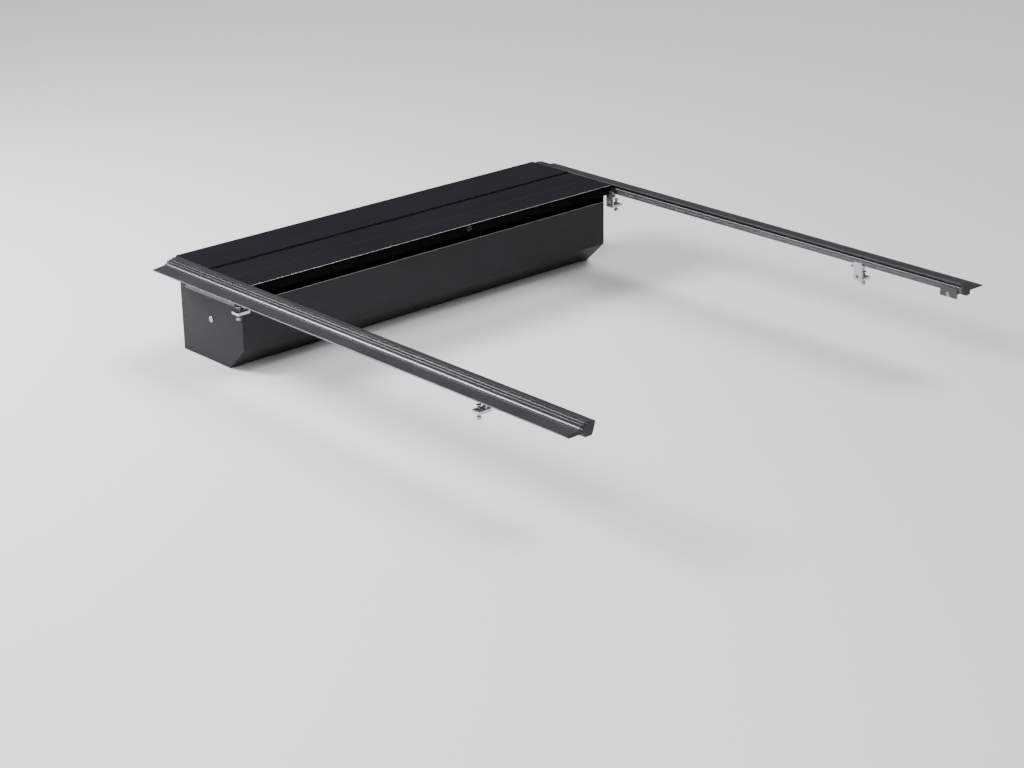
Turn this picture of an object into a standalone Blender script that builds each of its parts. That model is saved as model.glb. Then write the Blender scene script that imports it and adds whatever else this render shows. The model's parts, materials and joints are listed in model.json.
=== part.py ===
"""Roll-up tonneau cover for a short pickup bed: two side rails, a canister at the bulkhead with a
spring roller and its coil of slats, and a sliding cover section with a latched leading bar.

Metres, +Z up, +Y towards the cab, +X towards the passenger side. z = 0 is the plane of the bed
caps that the rails sit on, y = 0 is the middle of the bulkhead seal, x = 0 is the vehicle's middle.
The cover is shown open, with its slats rolled up.
"""

from math import asin, atan2, cos, pi, radians, sin

import bmesh
import bpy
from mathutils import Matrix, Vector

# Driving dimensions
RAIL_END_Y = -1.790
PLUG_LENGTH = 0.0105
RAIL_HALF_SPAN = 0.815
RAIL_LIP_X = 0.7255
SLOT_TOP_Z = 0.0212
SLOT_BOTTOM_Z = 0.0098
SLOT_DEPTH_X = 0.743
RAIL_TOP_Z = 0.0240
RAIL_BOTTOM_Z = -0.0120
RAIL_BODY_OUTER_X = 0.757
RAIL_BODY_INNER_X = 0.7352
RAIL_WALL = 0.0025
RAIL_CHAMBER_X = (0.7456, 0.7545)
RAIL_CHAMBER_TOP_Z = 0.0145
RAIL_SEAL_X = (0.772, 0.810)
FLANGE_UNDERSIDE_Z = 0.0015
GAP = 0.0003

# centre x, centre z, radius, first angle, last angle and steps of each rib on the rail's outer skin
RAIL_RIBS = (
    (0.7675, 0.0088, 0.0042, -10, 150, 7),
    (0.7605, 0.0152, 0.0040, -50, 120, 7),
    (0.7515, 0.0180, 0.0040, 25, 140, 5),
)

SLAT_PITCH = 0.098
SLAT_TOP_Z = 0.0205
SLAT_HEIGHT = 0.0080
SLAT_SKIN = 0.0016
SLAT_LEG = 0.0022
SLAT_LEG_INSET = 0.0105
SLAT_HALF_LENGTH = 0.7275
JOINT_HALF_GAP = 0.0006
LEADING_EDGE_Y = -0.366
MOUTH_SLAT_DIP = radians(10.0)

DECK_HALF_LENGTH = 0.7245
DECK_FRONT_Y = 0.012
DECK_REAR_Y = -0.158
DECK_LIP = 0.003
DECK_FOOT_Z = (0.0083, 0.0105)
BULKHEAD_SEAL_HALF_LENGTH = 0.722
WIPER_WIDTH = 0.0105
INNER_TRIM_HALF_LENGTH = 0.7240

FACE_Y = -0.326
FACE_TOP_Z = -0.046
FACE_BOTTOM_Z = -0.190
PAN_Z = -0.262
PAN_BEND_Y = -0.250
FRONT_WALL_Y = -0.0155
SHEET = 0.0020
PANEL_HALF_LENGTH = 0.7282
END_PLATE_INNER_X = 0.7285
END_PLATE_OUTER_X = 0.7315
END_PLATE_TOP_Z = 0.0070
PANEL_FLANGE = 0.0150
BRACKET_BOTTOM_Z = -0.060
BRACKET_THICKNESS = 0.0024
BRACKET_INSET_Y = 0.030

ROLLER_Y = -0.168
ROLLER_Z = -0.130
ROLLER_RADIUS = 0.028
ROLLER_WALL = 0.0025
ROLLER_HALF_LENGTH = 0.715
AXLE_RADIUS = 0.010
AXLE_OVERHANG = 0.0020
BEARING_WIDTH = 0.011
BEARING_INSET = 0.014
TORSION_SPRING_START_X = -0.640
TORSION_SPRING_LENGTH = 0.200
TORSION_SPRING_RADIUS = 0.0175
TORSION_SPRING_WIRE = 0.0022
TORSION_SPRING_TURNS = 14
COIL_START_RADIUS = 0.0625
COIL_GROWTH = 0.0245
COIL_START_ANGLE = radians(60.0)
FIRST_COILED_SLAT = 3
LAST_SLAT = 16

CLAMP_POSITIONS_Y = {"front": -0.353, "rear": -1.400}
CLAMP_WIDTH = 0.031
CLAMP_BOTTOM_Z = -0.060
CLAMP_TOP_Z = -0.0040
CLAMP_PLATE = 0.0042
CLAMP_BASE = 0.0080
CLAMP_BASE_X = 0.7740
CLAMP_JAW = 0.0045
CLAMP_JAW_X = 0.7560
CLAMP_FILLET = 0.0020
CLAMP_WINDOW_Z = -0.046
CLAMP_WINDOW_RADIUS = 0.0060
CLAMP_SCREW_X = 0.762
CLAMP_SCREW_HOLE_RADIUS = 0.0044
TAIL_BRACKET_Y = -1.733
TAIL_BRACKET_HALF_LENGTH = 0.030
TAIL_BRACKET_BOTTOM_Z = -0.0280
TAIL_BRACKET_TOP_Z = 0.0015
TAIL_BRACKET_PLATE = 0.0035
TAIL_BRACKET_ARM_X = 0.7545
TAIL_BOLT_Z = -0.0200
TAIL_BOLT_HOLE_RADIUS = 0.0036

BAR_BLOCK_FRONT_Y = -0.328
BAR_BOTTOM_Z = -0.004
BAR_WALL = 0.003
BAR_FLOOR = 0.0020
BAR_SEAL_HALF_LENGTH = 0.7180
GLIDE_INNER_X = 0.7000
GLIDE_OUTER_X = SLOT_DEPTH_X - 0.0015
GLIDE_FRONT_Y = -0.2760
LATCH_Y = -0.347
LATCH_Z = 0.0146
LATCH_RADIUS = 0.0038
LATCH_INNER_X = 0.640
LATCH_SPRING_LENGTH = 0.040
LATCH_SPRING_GAP = 0.0011
LATCH_SPRING_RADIUS = 0.0028
LATCH_SPRING_WIRE = 0.0005
LATCH_SPRING_TURNS = 8
LATCH_BOLT_LENGTH = 0.1005
LATCH_BOLT_CHAMFER = 0.0020
HANDLE_PIVOT_Y = -0.3325
HANDLE_PIVOT_Z = -0.0080
HANDLE_RADIUS = 0.0032
HANDLE_HALF_WIDTH = 0.065
LOCK_X = 0.110
LOCK_Z = 0.0080
LOCK_RADIUS = 0.0090
LOCK_HOLE_RADIUS = 0.0095
KEYWAY_HALF_WIDTH = 0.0008
KEYWAY_HALF_HEIGHT = 0.0038

SIDES = {"left": -1, "right": 1}

# colour, roughness, metallic
FINISHES = {
    "powder_coat": ((0.030, 0.032, 0.036), 0.42, 0.35),
    "slat_coat": ((0.022, 0.024, 0.028), 0.48, 0.30),
    "canister_coat": ((0.034, 0.033, 0.034), 0.50, 0.20),
    "bright_aluminium": ((0.68, 0.69, 0.70), 0.32, 1.0),
    "zinc_steel": ((0.62, 0.62, 0.60), 0.30, 1.0),
    "spring_steel": ((0.30, 0.30, 0.31), 0.35, 1.0),
    "black_zinc": ((0.025, 0.025, 0.027), 0.40, 0.6),
    "black_plastic": ((0.016, 0.016, 0.017), 0.55, 0.0),
    "black_rubber": ((0.010, 0.010, 0.010), 0.80, 0.0),
}


def clear_scene():
    for obj in list(bpy.data.objects):
        bpy.data.objects.remove(obj, do_unlink=True)


def material(name):
    found = bpy.data.materials.get(name)
    if found:
        return found
    colour, roughness, metallic = FINISHES[name]
    made = bpy.data.materials.new(name)
    made.use_nodes = True
    shader = made.node_tree.nodes["Principled BSDF"]
    shader.inputs["Base Color"].default_value = (*colour, 1.0)
    shader.inputs["Roughness"].default_value = roughness
    shader.inputs["Metallic"].default_value = metallic
    made.diffuse_color = (*colour, 1.0)
    return made


def pivot(name, position, parent=None):
    """An empty on a joint's axis, or one that carries a moving group."""
    empty = bpy.data.objects.new(name, None)
    bpy.context.scene.collection.objects.link(empty)
    empty.parent = parent
    home = Vector(position)
    empty.location = home - (parent.matrix_world.translation if parent else Vector())
    bpy.context.view_layer.update()
    return empty


def add_object(name, mesh_builder, finish, origin=(0, 0, 0), parent=None, smooth=False):
    """Turns a bmesh made in world coordinates into an object whose origin is at origin."""
    bmesh.ops.recalc_face_normals(mesh_builder, faces=mesh_builder.faces)
    home = Vector(origin)
    bmesh.ops.translate(mesh_builder, verts=mesh_builder.verts, vec=-home)
    mesh = bpy.data.meshes.new(name)
    mesh_builder.to_mesh(mesh)
    mesh_builder.free()
    mesh.materials.append(material(finish))
    if smooth:
        mesh.shade_smooth()
        mesh.set_sharp_from_angle(angle=radians(35))
    obj = bpy.data.objects.new(name, mesh)
    bpy.context.scene.collection.objects.link(obj)
    obj.parent = parent
    obj.location = home - (parent.matrix_world.translation if parent else Vector())
    return obj


def cut(obj, cutter):
    """Takes the cutter's shape out of the object."""
    cutter.hide_render = True
    cutter.display_type = "WIRE"
    boolean = obj.modifiers.new("cut_" + cutter.name, "BOOLEAN")
    boolean.operation = "DIFFERENCE"
    boolean.solver = "EXACT"
    boolean.object = cutter


def arc(centre_a, centre_b, radius, start_deg, end_deg, steps):
    """Points along a circular arc, in a section's own two coordinates."""
    points = []
    for i in range(steps + 1):
        angle = radians(start_deg + (end_deg - start_deg) * i / steps)
        points.append((centre_a + radius * cos(angle), centre_b + radius * sin(angle)))
    return points


def box_outline(low_a, low_b, high_a, high_b):
    return [(low_a, low_b), (high_a, low_b), (high_a, high_b), (low_a, high_b)]


def circle_outline(centre_a, centre_b, radius, sides=20):
    return arc(centre_a, centre_b, radius, 0, 360 * (sides - 1) / sides, sides - 1)


def prism(outline, start, end, along, holes=()):
    """A straight extrusion of an outline, with its holes, along X, Y or Z.

    The section's two coordinates are the other two axes, in X, Y, Z order.
    """
    builder = bmesh.new()
    edges = []
    for loop in [outline, *holes]:
        verts = []
        for a, b in loop:
            position = {"X": (start, a, b), "Y": (a, start, b), "Z": (a, b, start)}[along]
            verts.append(builder.verts.new(position))
        for first, second in zip(verts, verts[1:] + verts[:1]):
            edges.append(builder.edges.new((first, second)))
    bmesh.ops.triangle_fill(builder, use_beauty=True, edges=edges)
    step = {"X": (end - start, 0, 0), "Y": (0, end - start, 0), "Z": (0, 0, end - start)}[along]
    grown = bmesh.ops.extrude_face_region(builder, geom=builder.faces[:])
    new_verts = [v for v in grown["geom"] if isinstance(v, bmesh.types.BMVert)]
    bmesh.ops.translate(builder, verts=new_verts, vec=step)
    return builder


def turned(profile, centre, axis, segments=24, closed=False):
    """A turned piece: (radius, distance along the axis) points, with flat ends or a closed ring."""
    builder = bmesh.new()
    rings = []
    for radius, height in profile:
        ring = []
        for i in range(segments):
            angle = 2 * pi * i / segments
            ring.append(builder.verts.new((radius * cos(angle), radius * sin(angle), height)))
        rings.append(ring)
    pairs = list(zip(rings, rings[1:]))
    if closed:
        pairs.append((rings[-1], rings[0]))
    for lower, upper in pairs:
        for i in range(segments):
            j = (i + 1) % segments
            builder.faces.new((lower[i], lower[j], upper[j], upper[i]))
    if not closed:
        builder.faces.new(rings[0])
        builder.faces.new(rings[-1])
    turn = Vector((0, 0, 1)).rotation_difference(Vector(axis)).to_matrix().to_4x4()
    bmesh.ops.transform(builder, matrix=Matrix.Translation(centre) @ turn, verts=builder.verts)
    return builder


def helix(centre, radius, wire, length, turns, steps_per_turn=12, sides=6):
    """A coil spring along X that starts at centre."""
    builder = bmesh.new()
    rings = []
    rise = length / (2 * pi * turns)
    for i in range(turns * steps_per_turn + 1):
        angle = 2 * pi * i / steps_per_turn
        outward = Vector((0, cos(angle), sin(angle)))
        tangent = Vector((rise, -radius * sin(angle), radius * cos(angle))).normalized()
        across = tangent.cross(outward)
        middle = Vector(centre) + outward * radius + Vector((rise * angle, 0, 0))
        ring = []
        for k in range(sides):
            turn = 2 * pi * k / sides
            ring.append(builder.verts.new(middle + (outward * cos(turn) + across * sin(turn)) * wire))
        rings.append(ring)
    for lower, upper in zip(rings, rings[1:]):
        for i in range(sides):
            j = (i + 1) % sides
            builder.faces.new((lower[i], lower[j], upper[j], upper[i]))
    builder.faces.new(rings[0])
    builder.faces.new(rings[-1])
    return builder


# Side rails


def rail_top_outline():
    """The rail's outer skin, from its outer foot over three ribs to the lip above the slot."""
    outer = [
        (RAIL_HALF_SPAN, 0.0),
        (RAIL_HALF_SPAN + 0.0006, 0.0012),
        (RAIL_HALF_SPAN - 0.0008, 0.0030),
        (0.7745, 0.0074),
    ]
    low_rib, middle_rib, high_rib = RAIL_RIBS
    outer += arc(*low_rib)
    outer += arc(*middle_rib)
    outer += [(0.7572, 0.0180)]
    outer += arc(*high_rib)
    outer += [(0.7468, 0.0198), (0.7455, 0.0222), (0.7440, RAIL_TOP_Z)]
    outer += [(RAIL_LIP_X + 0.0015, RAIL_TOP_Z), (RAIL_LIP_X, RAIL_TOP_Z - 0.0008)]
    return outer


def rail_outline():
    inner = [
        (RAIL_LIP_X, SLOT_TOP_Z),
        (SLOT_DEPTH_X, SLOT_TOP_Z),
        (SLOT_DEPTH_X, SLOT_BOTTOM_Z),
        (0.7362, SLOT_BOTTOM_Z),
    ]
    inner += arc(0.7352, 0.0088, 0.0015, 70, 250, 5)
    inner += [
        (RAIL_BODY_INNER_X, 0.0060),
        (RAIL_BODY_INNER_X + 0.0010, 0.0050),
        (RAIL_BODY_INNER_X + 0.0010, 0.0035),
        (RAIL_BODY_INNER_X, 0.0025),
        (RAIL_BODY_INNER_X, RAIL_BOTTOM_Z + 0.0045),
        (RAIL_BODY_INNER_X + 0.0013, RAIL_BOTTOM_Z + 0.0013),
        (RAIL_BODY_INNER_X + 0.0045, RAIL_BOTTOM_Z),
        (RAIL_BODY_OUTER_X, RAIL_BOTTOM_Z),
        (RAIL_BODY_OUTER_X, FLANGE_UNDERSIDE_Z),
        (RAIL_HALF_SPAN - 0.0025, FLANGE_UNDERSIDE_Z),
        (RAIL_HALF_SPAN - 0.0025, 0.0),
    ]
    return rail_top_outline() + inner


def plug_outline():
    """The rail's outside shape, with its slot and recess closed."""
    bottom = [
        (RAIL_LIP_X + 0.0030, SLOT_BOTTOM_Z),
        (RAIL_BODY_INNER_X, RAIL_BOTTOM_Z + 0.0030),
        (RAIL_BODY_INNER_X + 0.0030, RAIL_BOTTOM_Z),
        (RAIL_BODY_OUTER_X, RAIL_BOTTOM_Z),
        (RAIL_BODY_OUTER_X, 0.0005),
    ]
    return rail_top_outline() + bottom


def on_side(outline, side):
    return [(side * a, b) for a, b in outline]


def make_rails():
    rail_rear_y = RAIL_END_Y + PLUG_LENGTH + GAP
    chamber_inner_x, chamber_outer_x = RAIL_CHAMBER_X
    chamber = box_outline(chamber_inner_x, RAIL_BOTTOM_Z + RAIL_WALL, chamber_outer_x, RAIL_CHAMBER_TOP_Z)
    seal_inner_x, seal_outer_x = RAIL_SEAL_X
    seal = box_outline(seal_inner_x, 0.0, seal_outer_x, FLANGE_UNDERSIDE_Z - GAP)
    for name, side in SIDES.items():
        rail = prism(on_side(rail_outline(), side), rail_rear_y, 0.0, "Y", [on_side(chamber, side)])
        add_object(f"{name}_rail", rail, "powder_coat")
        strip = prism(on_side(seal, side), rail_rear_y, 0.0, "Y")
        add_object(f"{name}_rail_seal", strip, "black_rubber")
        plug = prism(on_side(plug_outline(), side), RAIL_END_Y, RAIL_END_Y + PLUG_LENGTH, "Y")
        add_object(f"{name}_rail_end_plug", plug, "black_plastic")


# Canister at the bulkhead


def make_deck():
    foot_bottom_z, foot_top_z = DECK_FOOT_Z
    deck = [
        (DECK_REAR_Y, SLOT_TOP_Z),
        (DECK_FRONT_Y - DECK_LIP, SLOT_TOP_Z),
        (DECK_FRONT_Y - DECK_LIP, foot_top_z),
        (-DECK_FRONT_Y, foot_top_z),
        (-DECK_FRONT_Y, foot_bottom_z),
        (DECK_FRONT_Y, foot_bottom_z),
        (DECK_FRONT_Y, RAIL_TOP_Z - 0.0010),
        (DECK_FRONT_Y - 0.0010, RAIL_TOP_Z),
        (DECK_REAR_Y + 0.0005, RAIL_TOP_Z),
        (DECK_REAR_Y, RAIL_TOP_Z - 0.0005),
    ]
    panel = prism(deck, -DECK_HALF_LENGTH, DECK_HALF_LENGTH, "X")
    add_object("front_deck_panel", panel, "slat_coat")
    seal = box_outline(-DECK_FRONT_Y, 0.0, DECK_FRONT_Y, foot_bottom_z - GAP)
    strip = prism(seal, -BULKHEAD_SEAL_HALF_LENGTH, BULKHEAD_SEAL_HALF_LENGTH, "X")
    add_object("bulkhead_seal", strip, "black_rubber")
    wiper_rear_y = DECK_REAR_Y - WIPER_WIDTH
    wiper = box_outline(wiper_rear_y, SLAT_TOP_Z + GAP, DECK_REAR_Y - GAP, RAIL_TOP_Z - 0.0015)
    strip = prism(wiper, -INNER_TRIM_HALF_LENGTH, INNER_TRIM_HALF_LENGTH, "X")
    add_object("mouth_wiper", strip, "black_rubber")


def make_canister_shell():
    face = [
        (FACE_Y, FACE_BOTTOM_Z),
        (FACE_Y + SHEET, FACE_BOTTOM_Z),
        (FACE_Y + SHEET, FACE_TOP_Z - SHEET),
        (FACE_Y + PANEL_FLANGE, FACE_TOP_Z - SHEET),
        (FACE_Y + PANEL_FLANGE, FACE_TOP_Z),
        (FACE_Y + 0.0006, FACE_TOP_Z),
        (FACE_Y, FACE_TOP_Z - 0.0006),
    ]
    panel = prism(face, -PANEL_HALF_LENGTH, PANEL_HALF_LENGTH, "X")
    add_object("canister_face_panel", panel, "canister_coat")
    slope = Vector((PAN_BEND_Y - FACE_Y, PAN_Z - FACE_BOTTOM_Z)).normalized()
    inward = Vector((-slope.y, slope.x)) * SHEET
    pan = [
        (FACE_Y, FACE_BOTTOM_Z - GAP),
        (PAN_BEND_Y, PAN_Z),
        (FRONT_WALL_Y - SHEET, PAN_Z),
        (FRONT_WALL_Y - SHEET, PAN_Z + SHEET),
        (PAN_BEND_Y + 0.4 * SHEET, PAN_Z + SHEET),
        (FACE_Y + inward.x + 0.0006, FACE_BOTTOM_Z - GAP),
    ]
    panel = prism(pan, -PANEL_HALF_LENGTH, PANEL_HALF_LENGTH, "X")
    add_object("canister_bottom_pan", panel, "canister_coat")
    wall = [
        (FRONT_WALL_Y, PAN_Z),
        (FRONT_WALL_Y, SLOT_TOP_Z - GAP),
        (FRONT_WALL_Y - PANEL_FLANGE, SLOT_TOP_Z - GAP),
        (FRONT_WALL_Y - PANEL_FLANGE, SLOT_TOP_Z - GAP - SHEET),
        (FRONT_WALL_Y - SHEET + GAP, SLOT_TOP_Z - GAP - SHEET),
        (FRONT_WALL_Y - SHEET + GAP, PAN_Z),
    ]
    panel = prism(wall, -INNER_TRIM_HALF_LENGTH, INNER_TRIM_HALF_LENGTH, "X")
    add_object("canister_front_wall", panel, "canister_coat")


def make_end_plates():
    edge = [
        (FACE_Y, END_PLATE_TOP_Z),
        (FACE_Y, FACE_BOTTOM_Z),
        (PAN_BEND_Y, PAN_Z),
        (FRONT_WALL_Y, PAN_Z),
        (FRONT_WALL_Y, END_PLATE_TOP_Z),
    ]
    axle_hole = circle_outline(ROLLER_Y, ROLLER_Z, AXLE_RADIUS + GAP)
    leg_inner_x = END_PLATE_OUTER_X + GAP
    leg_outer_x = RAIL_BODY_INNER_X - 0.0010
    arm_end_x = RAIL_BODY_OUTER_X - 0.0010
    arm_top_z = RAIL_BOTTOM_Z - GAP
    leg = [
        (leg_inner_x, BRACKET_BOTTOM_Z),
        (leg_outer_x, BRACKET_BOTTOM_Z),
        (leg_outer_x, arm_top_z - BRACKET_THICKNESS),
        (arm_end_x, arm_top_z - BRACKET_THICKNESS),
        (arm_end_x, arm_top_z),
        (leg_inner_x, arm_top_z),
    ]
    for name, side in SIDES.items():
        inner, outer = side * END_PLATE_INNER_X, side * END_PLATE_OUTER_X
        plate = prism(edge, min(inner, outer), max(inner, outer), "X", [axle_hole])
        add_object(f"{name}_end_plate", plate, "canister_coat")
        rear_y, front_y = FACE_Y + BRACKET_INSET_Y, FRONT_WALL_Y - BRACKET_INSET_Y
        bracket = prism(on_side(leg, side), rear_y, front_y, "Y")
        add_object(f"{name}_canister_bracket", bracket, "powder_coat")


def make_roller(carrier):
    centre = (0, ROLLER_Y, ROLLER_Z)
    axle_half = END_PLATE_OUTER_X + AXLE_OVERHANG
    axle_profile = [(AXLE_RADIUS, -axle_half), (AXLE_RADIUS, axle_half)]
    add_object("roller_axle", turned(axle_profile, centre, (1, 0, 0), 20), "zinc_steel", smooth=True)
    inner_radius = ROLLER_RADIUS - ROLLER_WALL
    tube = [
        (ROLLER_RADIUS, -ROLLER_HALF_LENGTH),
        (ROLLER_RADIUS, ROLLER_HALF_LENGTH),
        (inner_radius, ROLLER_HALF_LENGTH),
        (inner_radius, -ROLLER_HALF_LENGTH),
    ]
    roller = turned(tube, centre, (1, 0, 0), 28, closed=True)
    add_object("roller_tube", roller, "bright_aluminium", centre, carrier, smooth=True)
    bearing = [
        (inner_radius - GAP, 0.0),
        (inner_radius - GAP, BEARING_WIDTH),
        (AXLE_RADIUS + GAP, BEARING_WIDTH),
        (AXLE_RADIUS + GAP, 0.0),
    ]
    for name, side in SIDES.items():
        home = (side * (ROLLER_HALF_LENGTH - BEARING_INSET), ROLLER_Y, ROLLER_Z)
        ring = turned(bearing, home, (side, 0, 0), 28, closed=True)
        add_object(f"{name}_roller_bearing", ring, "zinc_steel", smooth=True)
    spring = helix(
        (TORSION_SPRING_START_X, ROLLER_Y, ROLLER_Z),
        TORSION_SPRING_RADIUS,
        TORSION_SPRING_WIRE,
        TORSION_SPRING_LENGTH,
        TORSION_SPRING_TURNS,
    )
    add_object("torsion_spring", spring, "spring_steel", smooth=True)


# Slats


def slat_outline():
    """A slat's section: u runs forward from its rear hinge line, w is height from that line.

    The hinge lines are under the skin, and the legs stand clear of them, so the slats can curl up.
    """
    rear, front = JOINT_HALF_GAP, SLAT_PITCH - JOINT_HALF_GAP
    foot = SLAT_SKIN - SLAT_HEIGHT
    outline = [
        (rear, 0.0),
        (rear, SLAT_SKIN - 0.0004),
        (rear + 0.0004, SLAT_SKIN),
        (front - 0.0004, SLAT_SKIN),
        (front, SLAT_SKIN - 0.0004),
        (front, 0.0),
    ]
    for leg in (front - SLAT_LEG_INSET, SLAT_PITCH / 2, rear + SLAT_LEG_INSET):
        outline += [
            (leg + SLAT_LEG / 2, 0.0),
            (leg + SLAT_LEG / 2, foot),
            (leg - SLAT_LEG / 2, foot),
            (leg - SLAT_LEG / 2, 0.0),
        ]
    return outline


def slat(rear_joint, heading):
    """A slat from its rear joint line at (y, z), running forward at an angle above level."""
    y, z = rear_joint
    section = []
    for u, w in slat_outline():
        along_y = y + u * cos(heading) - w * sin(heading)
        up_z = z + u * sin(heading) + w * cos(heading)
        section.append((along_y, up_z))
    return prism(section, -SLAT_HALF_LENGTH, SLAT_HALF_LENGTH, "X")


def coil_joints(count):
    """Joint lines of the rolled slats, from the coil's inside out, along an Archimedean spiral."""
    angle = COIL_START_ANGLE
    joints = []
    for _ in range(count + 1):
        turned_by = angle - COIL_START_ANGLE
        radius = COIL_START_RADIUS + COIL_GROWTH * turned_by / (2 * pi)
        joints.append((ROLLER_Y + radius * cos(angle), ROLLER_Z + radius * sin(angle)))
        angle += 2 * asin(SLAT_PITCH / 2 / (radius + COIL_GROWTH / 10))
    return joints


def make_slats(cover, mouth_hinge, roller):
    hinge_z = SLAT_TOP_Z - SLAT_SKIN
    first_joint = (LEADING_EDGE_Y + SLAT_PITCH, hinge_z)
    mouth_joint = (LEADING_EDGE_Y + 2 * SLAT_PITCH, hinge_z)
    add_object("slat_01", slat(first_joint, 0.0), "slat_coat", (0, *first_joint), cover)
    mouth_slat = slat(mouth_joint, -MOUTH_SLAT_DIP)
    add_object("slat_02", mouth_slat, "slat_coat", (0, *mouth_joint), mouth_hinge)
    count = LAST_SLAT - FIRST_COILED_SLAT + 1
    joints = coil_joints(count)
    centre = (0, ROLLER_Y, ROLLER_Z)
    for i in range(count):
        inner, outer = joints[i], joints[i + 1]
        heading = atan2(inner[1] - outer[1], inner[0] - outer[0])
        number = LAST_SLAT - i
        add_object(f"slat_{number:02d}", slat(outer, heading), "slat_coat", centre, roller)


# Leading bar with its latch


def make_leading_bar(cover):
    front_y = LEADING_EDGE_Y + SLAT_PITCH - JOINT_HALF_GAP
    outline = [
        (LEADING_EDGE_Y, BAR_BOTTOM_Z),
        (BAR_BLOCK_FRONT_Y, BAR_BOTTOM_Z),
        (BAR_BLOCK_FRONT_Y, SLAT_TOP_Z - SLAT_SKIN),
        (front_y - SLAT_LEG, SLAT_TOP_Z - SLAT_SKIN),
        (front_y - SLAT_LEG, SLAT_TOP_Z - SLAT_HEIGHT),
        (front_y, SLAT_TOP_Z - SLAT_HEIGHT),
        (front_y, SLAT_TOP_Z - 0.0004),
        (front_y - 0.0004, SLAT_TOP_Z),
        (LEADING_EDGE_Y + 0.0012, SLAT_TOP_Z),
        (LEADING_EDGE_Y, SLAT_TOP_Z - 0.0012),
    ]
    hollow = box_outline(
        LEADING_EDGE_Y + BAR_WALL,
        BAR_BOTTOM_Z + BAR_FLOOR,
        BAR_BLOCK_FRONT_Y - BAR_FLOOR,
        SLAT_TOP_Z - SLAT_SKIN,
    )
    bar = prism(outline, -SLAT_HALF_LENGTH, SLAT_HALF_LENGTH, "X", [hollow])
    bar = add_object("leading_bar", bar, "powder_coat", (0, LEADING_EDGE_Y, SLAT_TOP_Z), cover)
    hole_profile = [(LOCK_HOLE_RADIUS, -0.006), (LOCK_HOLE_RADIUS, 0.006)]
    lock_hole = turned(hole_profile, (LOCK_X, LEADING_EDGE_Y, LOCK_Z), (0, 1, 0), 20)
    cut(bar, add_object("lock_hole_cutter", lock_hole, "black_plastic", parent=cover))
    seal = [(LEADING_EDGE_Y + 0.0005, BAR_BOTTOM_Z - GAP)]
    seal += arc(LEADING_EDGE_Y + 0.0055, BAR_BOTTOM_Z - 0.0025, 0.0050, 180, 360, 6)
    seal += [(LEADING_EDGE_Y + 0.0105, BAR_BOTTOM_Z - GAP)]
    strip = prism(seal, -BAR_SEAL_HALF_LENGTH, BAR_SEAL_HALF_LENGTH, "X")
    add_object("leading_bar_seal", strip, "black_rubber", parent=cover)
    glide_bottom_z, glide_top_z = SLOT_BOTTOM_Z + 0.0007, SLAT_TOP_Z - SLAT_SKIN - GAP
    glide = box_outline(BAR_BLOCK_FRONT_Y + 0.004, glide_bottom_z, GLIDE_FRONT_Y, glide_top_z)
    for name, side in SIDES.items():
        ends = sorted((side * GLIDE_INNER_X, side * GLIDE_OUTER_X))
        add_object(f"{name}_glide", prism(glide, *ends, "X"), "black_plastic", parent=cover)


def make_latch(cover):
    """The pull handle's paddle, the two latch bolts that it draws in, their springs and the lock."""
    handle_pivot = pivot("handle_pivot", (0, HANDLE_PIVOT_Y, HANDLE_PIVOT_Z), cover)
    paddle = arc(HANDLE_PIVOT_Y, HANDLE_PIVOT_Z, HANDLE_RADIUS, -90, 90, 6)
    paddle += [
        (LEADING_EDGE_Y + 0.0135, HANDLE_PIVOT_Z + HANDLE_RADIUS),
        (LEADING_EDGE_Y + 0.0125, HANDLE_PIVOT_Z - 0.0050),
        (LEADING_EDGE_Y + 0.0150, HANDLE_PIVOT_Z - 0.0052),
        (LEADING_EDGE_Y + 0.0165, HANDLE_PIVOT_Z - 0.0010),
    ]
    add_object(
        "pull_handle",
        prism(paddle, -HANDLE_HALF_WIDTH, HANDLE_HALF_WIDTH, "X"),
        "black_plastic",
        (0, HANDLE_PIVOT_Y, HANDLE_PIVOT_Z),
        handle_pivot,
        smooth=True,
    )
    bolt = [
        (LATCH_RADIUS, 0.0),
        (LATCH_RADIUS, LATCH_BOLT_LENGTH - LATCH_BOLT_CHAMFER),
        (LATCH_RADIUS - 0.0014, LATCH_BOLT_LENGTH),
    ]
    for name, side in SIDES.items():
        home = (side * LATCH_INNER_X, LATCH_Y, LATCH_Z)
        slide = pivot(f"{name}_latch_slide", home, cover)
        latch = turned(bolt, home, (side, 0, 0), 16)
        add_object(f"{name}_latch_bolt", latch, "zinc_steel", home, slide, smooth=True)
        near_x = LATCH_INNER_X - LATCH_SPRING_GAP
        start_x = min(side * near_x, side * (near_x - LATCH_SPRING_LENGTH))
        coil = helix(
            (start_x, LATCH_Y, LATCH_Z),
            LATCH_SPRING_RADIUS,
            LATCH_SPRING_WIRE,
            LATCH_SPRING_LENGTH,
            LATCH_SPRING_TURNS,
            steps_per_turn=10,
            sides=5,
        )
        add_object(f"{name}_latch_spring", coil, "spring_steel", parent=cover, smooth=True)
    lock_home = (LOCK_X, LEADING_EDGE_Y, LOCK_Z)
    lock_pivot = pivot("lock_pivot", lock_home, cover)
    lock = [(LOCK_RADIUS - 0.0010, -0.0022), (LOCK_RADIUS, -0.0014), (LOCK_RADIUS, 0.0120)]
    barrel = turned(lock, lock_home, (0, 1, 0), 24)
    core = add_object("lock_cylinder", barrel, "black_zinc", lock_home, lock_pivot, smooth=True)
    keyway = box_outline(
        LOCK_X - KEYWAY_HALF_WIDTH,
        LOCK_Z - KEYWAY_HALF_HEIGHT,
        LOCK_X + KEYWAY_HALF_WIDTH,
        LOCK_Z + KEYWAY_HALF_HEIGHT,
    )
    slot = prism(keyway, LEADING_EDGE_Y - 0.005, LEADING_EDGE_Y + 0.001, "Y")
    cut(core, add_object("keyway_cutter", slot, "black_zinc", parent=lock_pivot))


# Clamps and tail brackets


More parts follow.
